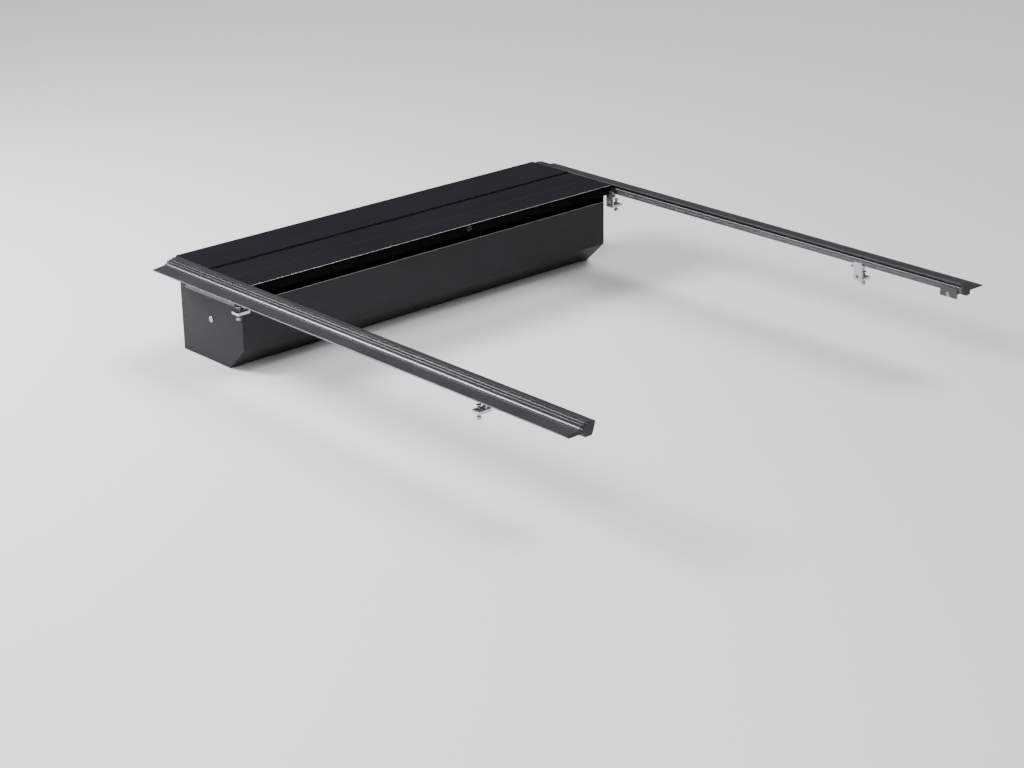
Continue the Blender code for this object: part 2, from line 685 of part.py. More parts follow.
def clamp_outline():
    """The clamp's C section: a plate beside the rail, a jaw under it and a base for the screw."""
    plate_x = RAIL_BODY_INNER_X - GAP
    inner_x = RAIL_BODY_INNER_X - CLAMP_PLATE
    jaw_top_z = RAIL_BOTTOM_Z - GAP
    base_top_z = CLAMP_BOTTOM_Z + CLAMP_BASE
    return [
        (inner_x, CLAMP_BOTTOM_Z + CLAMP_FILLET),
        (inner_x + CLAMP_FILLET, CLAMP_BOTTOM_Z),
        (CLAMP_BASE_X, CLAMP_BOTTOM_Z),
        (CLAMP_BASE_X, base_top_z),
        (plate_x + CLAMP_FILLET, base_top_z),
        (plate_x, base_top_z + CLAMP_FILLET),
        (plate_x, jaw_top_z - CLAMP_JAW - 0.0015),
        (plate_x + CLAMP_FILLET, jaw_top_z - CLAMP_JAW),
        (CLAMP_JAW_X, jaw_top_z - CLAMP_JAW),
        (CLAMP_JAW_X, jaw_top_z),
        (plate_x, jaw_top_z),
        (plate_x, CLAMP_TOP_Z),
        (inner_x, CLAMP_TOP_Z),
    ]


def make_clamp(name, side, y):
    body = prism(on_side(clamp_outline(), side), y - CLAMP_WIDTH / 2, y + CLAMP_WIDTH / 2, "Y")
    body = add_object(name, body, "bright_aluminium")
    home = (side * CLAMP_SCREW_X, y, CLAMP_BOTTOM_Z)
    hole_profile = [(CLAMP_SCREW_HOLE_RADIUS, -0.004), (CLAMP_SCREW_HOLE_RADIUS, CLAMP_BASE + 0.004)]
    hole = turned(hole_profile, home, (0, 0, 1), 16)
    cut(body, add_object(name + "_screw_hole", hole, "bright_aluminium"))
    window_profile = [(CLAMP_WINDOW_RADIUS, -0.008), (CLAMP_WINDOW_RADIUS, 0.008)]
    window_home = (side * (RAIL_BODY_INNER_X - CLAMP_PLATE), y, CLAMP_WINDOW_Z)
    window = turned(window_profile, window_home, (side, 0, 0), 20)
    cut(body, add_object(name + "_window", window, "bright_aluminium"))
    slide = pivot(name + "_screw_slide", home)
    screw = [
        (0.0055, -0.0180),
        (0.0065, -0.0172),
        (0.0065, -0.0100),
        (0.0041, -0.0100),
        (0.0041, 0.0200),
        (0.0070, 0.0203),
        (0.0070, 0.0235),
    ]
    turned_screw = turned(screw, home, (0, 0, 1), 18)
    add_object(name + "_screw", turned_screw, "zinc_steel", home, slide, smooth=True)


def make_clamps():
    for side_name, side in SIDES.items():
        for place, y in CLAMP_POSITIONS_Y.items():
            make_clamp(f"{side_name}_{place}_clamp", side, y)


def make_tail_brackets():
    inner_x = RAIL_BODY_INNER_X - TAIL_BRACKET_PLATE
    plate_x = RAIL_BODY_INNER_X - GAP
    outline = [
        (inner_x, TAIL_BRACKET_BOTTOM_Z),
        (plate_x, TAIL_BRACKET_BOTTOM_Z),
        (plate_x, RAIL_BOTTOM_Z - TAIL_BRACKET_PLATE),
        (TAIL_BRACKET_ARM_X, RAIL_BOTTOM_Z - TAIL_BRACKET_PLATE),
        (TAIL_BRACKET_ARM_X, RAIL_BOTTOM_Z - GAP),
        (plate_x, RAIL_BOTTOM_Z - GAP),
        (plate_x, TAIL_BRACKET_TOP_Z),
        (inner_x, TAIL_BRACKET_TOP_Z),
    ]
    rear_y = TAIL_BRACKET_Y - TAIL_BRACKET_HALF_LENGTH
    front_y = TAIL_BRACKET_Y + TAIL_BRACKET_HALF_LENGTH
    hole_profile = [(TAIL_BOLT_HOLE_RADIUS, -0.006), (TAIL_BOLT_HOLE_RADIUS, 0.010)]
    bolt = [(0.0052, -0.0052), (0.0062, -0.0042), (0.0062, -GAP), (0.0032, -GAP), (0.0032, 0.0080)]
    for name, side in SIDES.items():
        bracket = prism(on_side(outline, side), rear_y, front_y, "Y")
        bracket = add_object(f"{name}_tail_bracket", bracket, "powder_coat")
        centre = (side * inner_x, TAIL_BRACKET_Y, TAIL_BOLT_Z)
        hole = turned(hole_profile, centre, (side, 0, 0), 16)
        cut(bracket, add_object(f"{name}_tail_bolt_hole", hole, "powder_coat"))
        turned_bolt = turned(bolt, centre, (side, 0, 0), 18)
        add_object(f"{name}_tail_bolt", turned_bolt, "zinc_steel", smooth=True)


def main():
    clear_scene()
    cover = pivot("cover_carriage", (0, LEADING_EDGE_Y, SLAT_TOP_Z))
    mouth_line = (0, LEADING_EDGE_Y + 2 * SLAT_PITCH, SLAT_TOP_Z - SLAT_SKIN)
    mouth_hinge = pivot("mouth_hinge", mouth_line, cover)
    roller = pivot("roller_axis", (0, ROLLER_Y, ROLLER_Z))
    make_rails()
    make_deck()
    make_canister_shell()
    make_end_plates()
    make_roller(roller)
    make_slats(cover, mouth_hinge, roller)
    make_leading_bar(cover)
    make_latch(cover)
    make_clamps()
    make_tail_brackets()


main()
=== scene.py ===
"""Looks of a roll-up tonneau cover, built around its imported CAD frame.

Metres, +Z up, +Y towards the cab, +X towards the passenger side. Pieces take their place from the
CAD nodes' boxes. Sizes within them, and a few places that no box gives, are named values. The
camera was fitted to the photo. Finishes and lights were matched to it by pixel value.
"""

import json
from math import cos, pi, radians, sin, tan

import bmesh
import bpy
from mathutils import Matrix, Vector


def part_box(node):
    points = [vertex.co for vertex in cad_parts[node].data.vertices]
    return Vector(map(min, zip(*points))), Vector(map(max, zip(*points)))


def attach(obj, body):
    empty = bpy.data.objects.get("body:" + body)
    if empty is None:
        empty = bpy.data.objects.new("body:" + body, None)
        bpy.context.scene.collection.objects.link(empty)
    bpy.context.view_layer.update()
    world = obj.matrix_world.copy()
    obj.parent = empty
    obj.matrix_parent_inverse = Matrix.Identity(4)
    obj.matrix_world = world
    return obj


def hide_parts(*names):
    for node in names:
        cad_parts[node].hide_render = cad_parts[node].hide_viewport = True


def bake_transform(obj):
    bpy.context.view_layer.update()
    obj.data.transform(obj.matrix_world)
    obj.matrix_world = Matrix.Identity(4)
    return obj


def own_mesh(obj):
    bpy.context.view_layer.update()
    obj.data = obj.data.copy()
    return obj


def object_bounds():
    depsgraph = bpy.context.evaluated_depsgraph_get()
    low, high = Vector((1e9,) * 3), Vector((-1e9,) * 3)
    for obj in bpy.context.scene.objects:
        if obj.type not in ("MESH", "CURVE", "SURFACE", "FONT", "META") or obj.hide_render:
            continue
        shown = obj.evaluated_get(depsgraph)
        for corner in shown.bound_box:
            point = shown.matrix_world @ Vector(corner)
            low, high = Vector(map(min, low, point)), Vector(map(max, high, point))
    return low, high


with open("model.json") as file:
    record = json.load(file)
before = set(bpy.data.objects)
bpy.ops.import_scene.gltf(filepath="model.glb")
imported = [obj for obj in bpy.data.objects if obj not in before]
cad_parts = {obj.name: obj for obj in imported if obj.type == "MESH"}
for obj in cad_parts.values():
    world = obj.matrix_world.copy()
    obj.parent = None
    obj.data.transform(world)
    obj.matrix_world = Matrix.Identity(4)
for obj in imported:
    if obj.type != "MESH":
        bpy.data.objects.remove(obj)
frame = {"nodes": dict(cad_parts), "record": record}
CAD_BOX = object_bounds()

FINISHES = {}
SIDES = {"left": -1, "right": 1}
PLACES = ("front", "rear")
GAP = 0.0003
CHAMFER = 0.0003

# Camera
CAMERA_PLACE = (-4.3001, -5.4791, 2.1288)
CAMERA_YAW = 0.7303
CAMERA_PITCH = 0.3728
CAMERA_ROLL = -0.0147
CAMERA_LENS = 80.10
SENSOR_WIDTH = 36.0

# Slats
SLAT_PITCH = 0.098
SLAT_SKIN = 0.0016
SLAT_HEIGHT = 0.0080
SLAT_LEG = 0.0022
SLAT_LEG_INSET = 0.0105
JOINT_HALF_GAP = 0.0006
MOUTH_DIP = radians(10.0)
FOLLOWING_SLATS = 14
FOLLOW_START_Y = -0.0340
FOLLOW_END_Y = -0.0878
HALVINGS = 60

# Bright aluminium strips along the rear edges: painted highlights where these rounded edges catch
# the light
HIGHLIGHT_STRIP_WIDTH = 0.0005
HIGHLIGHT_STRIP_HEIGHT = 0.0008

# Rails: sections are measured outboard from the lip and up from the bed's cap
FLUTE_HEIGHTS = (0.0018, -0.0004, -0.0026, -0.0048)
SEAL_FINS = 9
FIN_DEPTH = 0.0005
RAIL_ROUND = 0.0004
RIB_STEPS = 14
LIP_STEPS = 8

# Deck
DECK_SKIN = 0.0028
DECK_FOOT = 0.0022
DECK_WALL = 0.0030
GROOVE_START = 0.0300
GROOVE_END = 0.0330
GROOVE_DEPTH = 0.0030
GROOVE_SLOPE = 0.0004

# Canister
SHEET = 0.0020
PAN_SLANT = 0.076
UPRIGHT_RIVETS = 5
FOOT_RIVETS = 4
FOOT_RIVET_PITCH = 0.058
RIVET_INSET = 0.010
HANGER_BOLTS = 4

# Leading bar
BAR_LIP = 0.0045
BAR_UNDERCUT = 0.0095
BAR_BLOCK_FRONT = 0.038
BAR_WALL = 0.0024
BAR_NOSE = 0.0022
LOCK_BOSS = 0.0014
LOCK_BOSS_DEPTH = 0.0105

# Latch
LATCH_SPRING_WIRE = 0.0005
LATCH_SPRING_TURNS = 8

# Clamps: heights are over the bed's cap
CLAMP_PLATE = 0.0042
CLAMP_BOLT_OFFSET = 0.0215
CLAMP_BOLT_Z = -0.0172
CLAMP_EAR_HALF_LENGTH = 0.0262
CLAMP_EAR_Z = (-0.0222, -0.0123)
CLAMP_WINDOW_Z = -0.046
CLAMP_WINDOW_RECESS = 0.0036

# Bolts as (radius, height) of the head
HANGER_BOLT = (0.0048, 0.0030)
CLAMP_BOLT = (0.0040, 0.0026)
WINDOW_BOLT = (0.0042, 0.0026)
TAIL_BOLT = (0.0058, 0.0034)
TAIL_WASHER = 0.0076

# Clamp screws
SCREW_HEAD = (0.0060, 0.0080)
SCREW_PAD = (0.0070, 0.0032)
SCREW_CREST = 0.0041
SCREW_ROOT = 0.0035
SCREW_THREAD_PITCH = 0.0015
SCREW_EASE = 0.0004

# Floor and lights
FLOOR_HALF = 20.0
FLOOR_DROP = 0.001
SUN_FROM = (0.55, -0.12, 0.83)
SUN_STRENGTH = 3.0
SUN_ANGLE = radians(35)
SKY_COLOUR = (0.88, 0.93, 1.0, 1)
SKY_STRENGTH = 0.10

# Outlines


def arc(centre_a, centre_b, radius, start_deg, end_deg, steps):
    """Points along a round stretch, both ends included."""
    points = []
    for i in range(steps + 1):
        angle = radians(start_deg + (end_deg - start_deg) * i / steps)
        points.append((centre_a + radius * cos(angle), centre_b + radius * sin(angle)))
    return points


def box_outline(low_a, low_b, high_a, high_b):
    return [(low_a, low_b), (high_a, low_b), (high_a, high_b), (low_a, high_b)]


def rounded(outline, radius, steps=4):
    """The outline with each sharp corner replaced by a small round of up to that radius."""
    result = []
    count = len(outline)
    for i in range(count):
        corner = Vector(outline[i])
        before = Vector(outline[i - 1]) - corner
        after = Vector(outline[(i + 1) % count]) - corner
        turn = pi - before.angle(after)
        if turn < radians(22):
            result.append(tuple(corner))
            continue
        cut = min(radius * tan(turn / 2), 0.45 * before.length, 0.45 * after.length)
        first = corner + before.normalized() * cut
        last = corner + after.normalized() * cut
        for k in range(steps + 1):
            t = k / steps
            point = first * (1 - t) ** 2 + corner * (2 * t * (1 - t)) + last * t**2
            result.append(tuple(point))
    return result


def signed_area(outline):
    """Positive where the outline runs anticlockwise."""
    total = 0.0
    for (a, b), (c, d) in zip(outline, outline[1:] + outline[:1]):
        total += a * d - c * b
    return total / 2


def inset(outline, distance):
    """The outline moved inwards by a small distance, or outwards where it is negative."""
    sign = 1 if signed_area(outline) > 0 else -1
    result = []
    count = len(outline)
    for i in range(count):
        here = Vector(outline[i])
        before = (here - Vector(outline[i - 1])).normalized()
        after = (Vector(outline[(i + 1) % count]) - here).normalized()
        normal = Vector((-before.y - after.y, before.x + after.x)) * sign
        if normal.length < 1e-6:
            result.append(tuple(here))
            continue
        normal.normalize()
        result.append(tuple(here + normal * distance))
    return result


# Meshes


def link_mesh(name, builder, material):
    """Makes an object of the shape, smooth but for its sharp edges and flat faces."""
    bmesh.ops.recalc_face_normals(builder, faces=builder.faces)
    mesh = bpy.data.meshes.new(name)
    builder.to_mesh(mesh)
    builder.free()
    mesh.materials.append(material)
    mesh.shade_smooth()
    mesh.set_sharp_from_angle(angle=radians(35))
    obj = bpy.data.objects.new(name, mesh)
    bpy.context.scene.collection.objects.link(obj)
    flat_faces = obj.modifiers.new("flat_faces", "WEIGHTED_NORMAL")
    flat_faces.weight = 100
    flat_faces.keep_sharp = True
    return obj


def piece(name, builder, slot, body, nodes=()):
    """A finished piece that rides on a body and may stand for CAD nodes."""
    obj = link_mesh(name, builder, FINISHES[slot])
    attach(obj, body)
    if nodes:
        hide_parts(*nodes)
    return obj


def merge(target, source):
    """Adds one bmesh's shape to another."""
    mesh = bpy.data.meshes.new("merge")
    source.to_mesh(mesh)
    source.free()
    target.from_mesh(mesh)
    bpy.data.meshes.remove(mesh)
    return target


def prism(outline, start, end, along, holes=(), chamfer=CHAMFER):
    """An extrusion with chamfered ends. The outline's axes are the other two, in XYZ order."""
    low, high = min(start, end), max(start, end)
    builder = bmesh.new()
    stations = [(low, chamfer), (low + chamfer, 0.0), (high - chamfer, 0.0), (high, chamfer)]
    caps = {0: [], 3: []}
    for index, loop in enumerate([outline, *holes]):
        rings = []
        for place, shrink in stations:
            shape = inset(loop, shrink if index == 0 else -shrink) if shrink else loop
            ring = []
            for a, b in shape:
                at = {"X": (place, a, b), "Y": (a, place, b), "Z": (a, b, place)}[along]
                ring.append(builder.verts.new(at))
            rings.append(ring)
        for lower, upper in zip(rings, rings[1:]):
            for i in range(len(loop)):
                j = (i + 1) % len(loop)
                builder.faces.new((lower[i], lower[j], upper[j], upper[i]))
        for cap in caps:
            ring = rings[cap]
            for i in range(len(loop)):
                caps[cap].append(builder.edges.get((ring[i], ring[(i + 1) % len(loop)])))
    for edges in caps.values():
        bmesh.ops.triangle_fill(builder, use_beauty=True, edges=edges)
    return builder


def hexagon(angle):
    """How far out a hexagon's side is at an angle, for an inside radius of 1."""
    return 1 / cos((angle + pi / 6) % (pi / 3) - pi / 6)


def turned(profile, centre, axis, segments=48, closed=False):
    """A turned piece from (radius, height) points. A third value makes that ring six-sided."""
    builder = bmesh.new()
    rings = []
    for radius, height, *shape in profile:
        ring = []
        for i in range(segments):
            angle = 2 * pi * i / segments
            reach = radius * (hexagon(angle) if shape else 1)
            ring.append(builder.verts.new((reach * cos(angle), reach * sin(angle), height)))
        rings.append(ring)
    pairs = list(zip(rings, rings[1:]))
    if closed:
        pairs.append((rings[-1], rings[0]))
    for lower, upper in pairs:
        for i in range(segments):
            j = (i + 1) % segments
            builder.faces.new((lower[i], lower[j], upper[j], upper[i]))
    if not closed:
        builder.faces.new(rings[0])
        builder.faces.new(rings[-1])
    turn = Vector((0, 0, 1)).rotation_difference(Vector(axis)).to_matrix().to_4x4()
    place = Matrix.Translation(centre) @ turn
    bmesh.ops.transform(builder, matrix=place, verts=builder.verts)
    return builder


def eased(name, width, segments=2):
    """A copy of a CAD node's shape with every sharp edge rounded."""
    builder = bmesh.new()
    builder.from_mesh(frame["nodes"][name].data)
    bmesh.ops.remove_doubles(builder, verts=builder.verts, dist=1e-6)
    bmesh.ops.dissolve_limit(
        builder, angle_limit=radians(1), verts=builder.verts, edges=builder.edges
    )
    edges = [e for e in builder.edges if e.calc_face_angle(0) > radians(28)]
    bmesh.ops.bevel(
        builder, geom=edges, offset=width, segments=segments, profile=0.5,
        affect="EDGES", clamp_overlap=True,
    )
    return builder


def bolt(centre, axis, radius, height, washer=0.0, shank=0.0):
    """A button-head bolt with a hexagon socket, on a washer where one is asked for."""
    base = 0.0012 if washer else 0.0
    profile = [(radius * 0.5, -shank)]
    if washer:
        profile += [(radius * 0.5, 0.0), (washer - 0.0002, 0.0), (washer, 0.0002)]
        profile += [(washer, base - 0.0002), (washer - 0.0002, base)]
    profile += [(radius, base), (radius, base + 0.25 * height)]
    for step in (0.35, 0.65, 0.9):
        angle = step * pi / 2
        reach = radius * (0.55 + 0.45 * cos(angle))
        profile.append((reach, base + height * (0.25 + 0.75 * sin(angle))))
    socket = radius * 0.42
    profile += [(socket, base + height, "hex"), (socket, base + 0.35 * height, "hex")]
    profile.append((socket * 0.1, base + 0.25 * height))
    return turned(profile, centre, axis, 36)


def rivet(centre, axis, radius=0.0030):
    """A domed pop rivet with its mandrel's end in the middle."""
    profile = [(radius, -0.0002), (radius, 0.0002)]
    profile += [(radius * cos(a), 0.0002 + 0.0012 * sin(a)) for a in (0.5, 0.9, 1.2)]
    profile += [(radius * 0.30, 0.0009), (radius * 0.28, 0.0012), (radius * 0.05, 0.0013)]
    return turned(profile, centre, axis, 20)


def helix(start, radius, wire, length, turns):
    """A coil spring of round wire along X."""
    steps, sides = 24, 8
    builder = bmesh.new()
    rings = []
    rise = length / (2 * pi * turns)
    for i in range(turns * steps + 1):
        angle = 2 * pi * i / steps
        outward = Vector((0, cos(angle), sin(angle)))
        ahead = Vector((rise, -radius * sin(angle), radius * cos(angle))).normalized()
        across = ahead.cross(outward)
        middle = Vector(start) + outward * radius + Vector((rise * angle, 0, 0))
        ring = []
        for k in range(sides):
            turn = 2 * pi * k / sides
            offset = (outward * cos(turn) + across * sin(turn)) * wire
            ring.append(builder.verts.new(middle + offset))
        rings.append(ring)
    for lower, upper in zip(rings, rings[1:]):
        for i in range(sides):
            j = (i + 1) % sides
            builder.faces.new((lower[i], lower[j], upper[j], upper[i]))
    builder.faces.new(rings[0])
    builder.faces.new(rings[-1])
    return builder


# Materials


def node(tree, kind, **values):
    """A shader node with its inputs and properties set by name."""
    made = tree.nodes.new(kind)
    for key, value in values.items():
        socket = key.replace("_", " ")
        if socket in made.inputs:
            made.inputs[socket].default_value = value
        else:
            setattr(made, key, value)
    return made


def ramp(tree, source, low, high, colours):
    """Maps a value between low and high onto two colours."""
    made = tree.nodes.new("ShaderNodeValToRGB")
    made.color_ramp.elements[0].position = low
    made.color_ramp.elements[1].position = high
    made.color_ramp.elements[0].color = (*colours[0], 1)
    made.color_ramp.elements[1].color = (*colours[1], 1)
    tree.links.new(source, made.inputs["Fac"])
    return made.outputs["Color"]


def wear_and_highlight_edges(tree, colour_out, cloud_out, edge_wear_and_highlight, radius):
    """The colour with lighter patches where the surface turns sharply: part wear, part painted
    highlight along the edges.
    """
    links = tree.links
    edge = node(tree, "ShaderNodeBevel", samples=4, Radius=radius)
    true_normal = tree.nodes.new("ShaderNodeNewGeometry").outputs["Normal"]
    across = node(tree, "ShaderNodeVectorMath", operation="DOT_PRODUCT")
    links.new(edge.outputs["Normal"], across.inputs[0])
    links.new(true_normal, across.inputs[1])
    mask = ramp(tree, across.outputs["Value"], 0.80, 0.94, ((1, 1, 1), (0, 0, 0)))
    patches = ramp(tree, cloud_out, 0.50, 0.72, ((0.0,) * 3, (0.7,) * 3))
    lightened = node(tree, "ShaderNodeMath", operation="MULTIPLY")
    links.new(mask, lightened.inputs[0])
    links.new(patches, lightened.inputs[1])
    edged = node(tree, "ShaderNodeMix", data_type="RGBA")
    links.new(lightened.outputs["Value"], edged.inputs["Factor"])
    links.new(colour_out, edged.inputs["A"])
    edged.inputs["B"].default_value = (*edge_wear_and_highlight, 1)
    return edged.outputs["Result"]


def finish_material(
    name,
    colour,
    roughness,
    metallic=0.0,
    specular=0.5,
    shade=0.18,
    roughness_spread=0.06,
    grain=0.0006,
    grain_height=0.00002,
    stretch=(1, 1, 1),
    edge_wear_and_highlight=None,
    wear_and_highlight_radius=0.0009,
):
    """A surface with fine grain, cloudy colour and roughness, and lighter edges if asked for,
    part wear and part painted highlight.
    """
    made = bpy.data.materials.new(name + "_finish")
    FINISHES[name] = made
    made.use_nodes = True
    tree = made.node_tree
    links = tree.links
    shader = tree.nodes["Principled BSDF"]
    shader.inputs["Metallic"].default_value = metallic
    shader.inputs["Specular IOR Level"].default_value = specular
    place = tree.nodes.new("ShaderNodeTexCoord").outputs["Object"]
    scaled = node(tree, "ShaderNodeMapping", Scale=stretch)
    links.new(place, scaled.inputs["Vector"])

    cloud = node(tree, "ShaderNodeTexNoise", Scale=7.0, Detail=5.0, Roughness=0.6)
    links.new(scaled.outputs["Vector"], cloud.inputs["Vector"])
    fine = node(tree, "ShaderNodeTexNoise", Scale=1 / grain, Detail=3.0, Roughness=0.55)
    links.new(scaled.outputs["Vector"], fine.inputs["Vector"])

    dark = tuple(c * (1 - shade) for c in colour)
    light = tuple(min(1, c * (1 + shade)) for c in colour)
    base = ramp(tree, cloud.outputs["Fac"], 0.30, 0.70, (dark, light))
    speck = ramp(tree, fine.outputs["Fac"], 0.35, 0.75, ((0.86,) * 3, (1.0,) * 3))
    mixed = node(tree, "ShaderNodeMix", data_type="RGBA", blend_type="MULTIPLY")
    mixed.inputs["Factor"].default_value = 1.0
    links.new(base, mixed.inputs["A"])
    links.new(speck, mixed.inputs["B"])
    colour_out = mixed.outputs["Result"]

    rough = tree.nodes.new("ShaderNodeMapRange")
    rough.inputs["To Min"].default_value = roughness - roughness_spread
    rough.inputs["To Max"].default_value = roughness + roughness_spread
    links.new(cloud.outputs["Fac"], rough.inputs["Value"])
    links.new(rough.outputs["Result"], shader.inputs["Roughness"])

    bump = node(tree, "ShaderNodeBump", Strength=0.6, Distance=grain_height)
    links.new(fine.outputs["Fac"], bump.inputs["Height"])
    links.new(bump.outputs["Normal"], shader.inputs["Normal"])

    # Lighter edges: part wear, part painted highlight.
    if edge_wear_and_highlight:
        colour_out = wear_and_highlight_edges(tree, colour_out, cloud.outputs["Fac"], edge_wear_and_highlight, wear_and_highlight_radius)
    links.new(colour_out, shader.inputs["Base Color"])


def make_materials():
    """One finish for each slot of the record."""
    finish_material(
        "powder_coat", (0.032, 0.033, 0.036), 0.30, specular=0.72, grain=0.0040,
        grain_height=0.000004, roughness_spread=0.03,
    )
    # The lighter edge colours of these two coats are part wear, part painted highlight.
    finish_material(
        "slat_coat", (0.0060, 0.0075, 0.0096), 0.42, specular=0.24, grain=0.0007,
        grain_height=0.00002, stretch=(0.30, 1, 1), edge_wear_and_highlight=(0.035, 0.04, 0.045),
        wear_and_highlight_radius=0.0005,
    )
    finish_material(
        "canister_coat", (0.0250, 0.0230, 0.0262), 0.55, specular=0.24, grain=0.0009,
        grain_height=0.00003, stretch=(0.6, 1, 1), edge_wear_and_highlight=(0.12, 0.12, 0.12), wear_and_highlight_radius=0.0008,
    )
    finish_material(
        "bright_aluminium", (0.62, 0.63, 0.64), 0.34, metallic=0.8, shade=0.12,
        roughness_spread=0.12, grain=0.0005, grain_height=0.00003, stretch=(1, 1, 0.06),
    )
    finish_material(
        "zinc_steel", (0.40, 0.40, 0.40), 0.26, metallic=1.0, shade=0.14,
        roughness_spread=0.10, grain=0.0011, grain_height=0.000015,
    )
    finish_material(
        "spring_steel", (0.20, 0.20, 0.21), 0.34, metallic=1.0, shade=0.20,
        roughness_spread=0.08, grain=0.0005, grain_height=0.00001,
    )
    finish_material(
        "black_zinc", (0.007, 0.007, 0.008), 0.50, metallic=0.3, shade=0.20,
        grain=0.0006, grain_height=0.00001,
    )
    finish_material(
        "black_plastic", (0.011, 0.011, 0.012), 0.52, specular=0.42, grain=0.0009,
        grain_height=0.00006,
    )
    finish_material(
        "black_rubber", (0.003, 0.003, 0.003), 0.88, specular=0.03, grain=0.0010,
        grain_height=0.00007, shade=0.28,
    )


def paint_cad_nodes():
    """Gives every CAD node the finish of its slot: the nodes that stay visible keep it."""
    for row in frame["record"]["subparts"]:
        for slot in frame["nodes"][row["node"]].material_slots:
            slot.material = FINISHES[row["material_slot"]]


# Rails


def rail_skin():
    """The outer skin, as distances outboard of the lip and heights over the bed's cap."""
    skin = [(0.0895, 0.0), (0.0901, 0.0006), (0.0900, 0.0024), (0.0894, 0.0029)]
    skin += [(0.0490, 0.0074)]
    skin += arc(0.0424, 0.0084, 0.0034, -12, 38, 7)
    skin += arc(0.0408, 0.0098, 0.0034, 44, 140, RIB_STEPS)
    skin += [(0.0378, 0.0118)]
    skin += arc(0.0362, 0.0176, 0.0014, -5, 90, RIB_STEPS)
    skin += arc(0.0332, 0.0178, 0.0012, 90, 170, RIB_STEPS)
    skin += [(0.0318, 0.0166), (0.0300, 0.0166)]
    skin += arc(0.0276, 0.0204, 0.0016, -5, 90, RIB_STEPS)
    skin += arc(0.0246, 0.0206, 0.0014, 90, 170, RIB_STEPS)
    skin += [(0.0225, 0.0192), (0.0200, 0.0196), (0.0193, 0.0240)]
    skin += [(0.0010, 0.0240), (0.0, 0.0230)]
    return skin


def rail_inside(bottom_z):
    """The slot between its lips, the rail's fluted inner face and its underside."""
    inner = [(0.0, 0.0212), (0.0175, 0.0212), (0.0175, 0.0098)]
    inner += arc(0.0122, 0.0058, 0.0040, 90, 205, LIP_STEPS)
    inner += [(0.0097, 0.0036)]
    for height in FLUTE_HEIGHTS:
        inner += [
            (0.0097, height + 0.0007),
            (0.0102, height + 0.0003),
            (0.0102, height - 0.0003),
            (0.0097, height - 0.0007),
        ]
    inner += arc(0.0142, bottom_z + 0.0045, 0.0045, 180, 270, LIP_STEPS)
    inner += [(0.0315, bottom_z), (0.0315, 0.0015), (0.0870, 0.0015), (0.0870, 0.0)]
    return inner


def rail_plug(bottom_z):
    """The end plug's outline: the rail's skin, closed below."""
    foot = [(0.0030, 0.0098), (0.0097, bottom_z + 0.0030), (0.0127, bottom_z)]
    return rail_skin() + foot + [(0.0315, bottom_z), (0.0315, 0.0005)]


def finned_strip(start, end, top):
    """A rubber strip's section with fins on its upper face."""
    fins = [(start, 0.0), (end, 0.0)]
    step = (end - start) / SEAL_FINS
    for i in range(SEAL_FINS):
        right = end - i * step
        fins += [(right, top), (right - step / 2, top - FIN_DEPTH)]
    fins.append((start, top))
    return fins


def beside(section, lip_x, side):
    """A section measured from the lip, placed on the left or right side."""
    return [(side * (lip_x + a), b) for a, b in section]


def make_rails():
    low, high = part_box("right_rail")
    section = rounded(rail_skin() + rail_inside(low.z), RAIL_ROUND)
    chamber = rounded(box_outline(0.0201, low.z + 0.0025, 0.0290, 0.0145), 0.0008)
    seal_low, seal_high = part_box("right_rail_seal")
    fins = finned_strip(seal_low.x - low.x, seal_high.x - low.x, seal_high.z)
    plug_low, plug_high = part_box("right_rail_end_plug")
    plug = rounded(rail_plug(low.z), RAIL_ROUND)
    for name, side in SIDES.items():
        hollow = [beside(chamber, low.x, side)]
        rail = prism(beside(section, low.x, side), low.y, high.y, "Y", hollow)
        piece(f"{name}_rail_extrusion", rail, "powder_coat", "frame", [f"{name}_rail"])
        strip = prism(beside(fins, low.x, side), seal_low.y, seal_high.y, "Y", chamfer=0.0001)
        piece(f"{name}_rail_strip", strip, "black_rubber", "frame", [f"{name}_rail_seal"])
        cap = prism(beside(plug, low.x, side), plug_low.y, plug_high.y, "Y")
        piece(f"{name}_rail_cap", cap, "black_plastic", "frame", [f"{name}_rail_end_plug"])


# Deck and canister


def make_deck():
    low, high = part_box("front_deck_panel")
    skin_z = high.z - DECK_SKIN
    foot_z = low.z + DECK_FOOT
    deck = [
        (low.y, skin_z),
        (low.y + GROOVE_START, skin_z),
        (low.y + GROOVE_START + GROOVE_SLOPE, skin_z - GROOVE_DEPTH),
        (low.y + GROOVE_END - GROOVE_SLOPE, skin_z - GROOVE_DEPTH),
        (low.y + GROOVE_END, skin_z),
        (high.y - DECK_WALL, skin_z),
        (high.y - DECK_WALL, foot_z),
        (-high.y, foot_z),
        (-high.y, low.z),
        (high.y, low.z),
        (high.y, high.z),
        (low.y, high.z),
    ]
    panel = prism(rounded(deck, 0.0004), low.x, high.x, "X")
    piece("deck_strip", panel, "slat_coat", "frame", ["front_deck_panel"])
    foot_strip = eased("bulkhead_seal", 0.0004)
    piece("deck_foot_strip", foot_strip, "black_rubber", "frame", ["bulkhead_seal"])


def make_mouth_lip():
    """The rubber strip in the mouth, a wedge that thins towards the rear."""
    low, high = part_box("mouth_wiper")
    wiper = [
        (high.y, high.z),
        (high.y, low.z),
        (low.y + 0.0006, low.z),
        (low.y, low.z + 0.0003),
        (low.y + 0.0006, low.z + 0.0006),
        (high.y - 0.0035, low.z + 0.0007),
    ]
    strip = prism(wiper, low.x, high.x, "X", chamfer=0.0001)
    piece("mouth_lip", strip, "black_rubber", "frame", ["mouth_wiper"])


